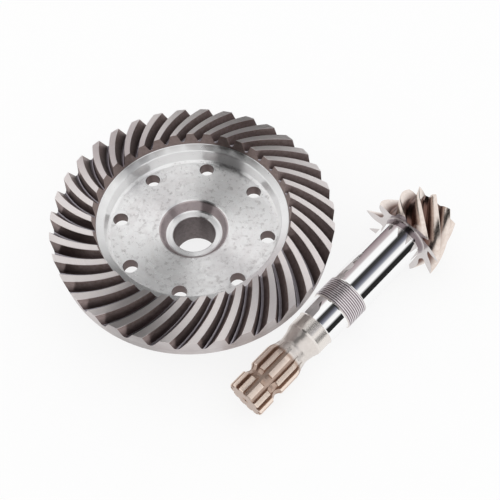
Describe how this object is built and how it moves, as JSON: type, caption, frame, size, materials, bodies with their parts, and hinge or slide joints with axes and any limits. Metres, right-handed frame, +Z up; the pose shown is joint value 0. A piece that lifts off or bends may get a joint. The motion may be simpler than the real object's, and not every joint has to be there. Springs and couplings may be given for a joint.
{
  "type": "ring and pinion gear set",
  "caption": "Spiral bevel ring gear with a dished, drilled web and hub, and its pinion shaft with ground journals, a fine thread and a splined end, lying side by side.",
  "frame": {"origin": "on the ring gear's axis at the end face of its hub, the surface that both gears lie on", "axes": "+Z up along the ring gear's axis, towards its teeth; the pinion shaft lies on the -Y side, its head towards +X"},
  "size_m": [0.3546, 0.2939, 0.0782],
  "materials": {
    "ring_steel": "machined and lapped case-hardened steel, dark tooth flanks",
    "pinion_steel": "ground bright journals, satin turned steel elsewhere"
  },
  "bodies": {
    "root": {"ring_gear": "ring_steel", "pinion_shaft": "pinion_steel"}
  },
  "joints": []
}
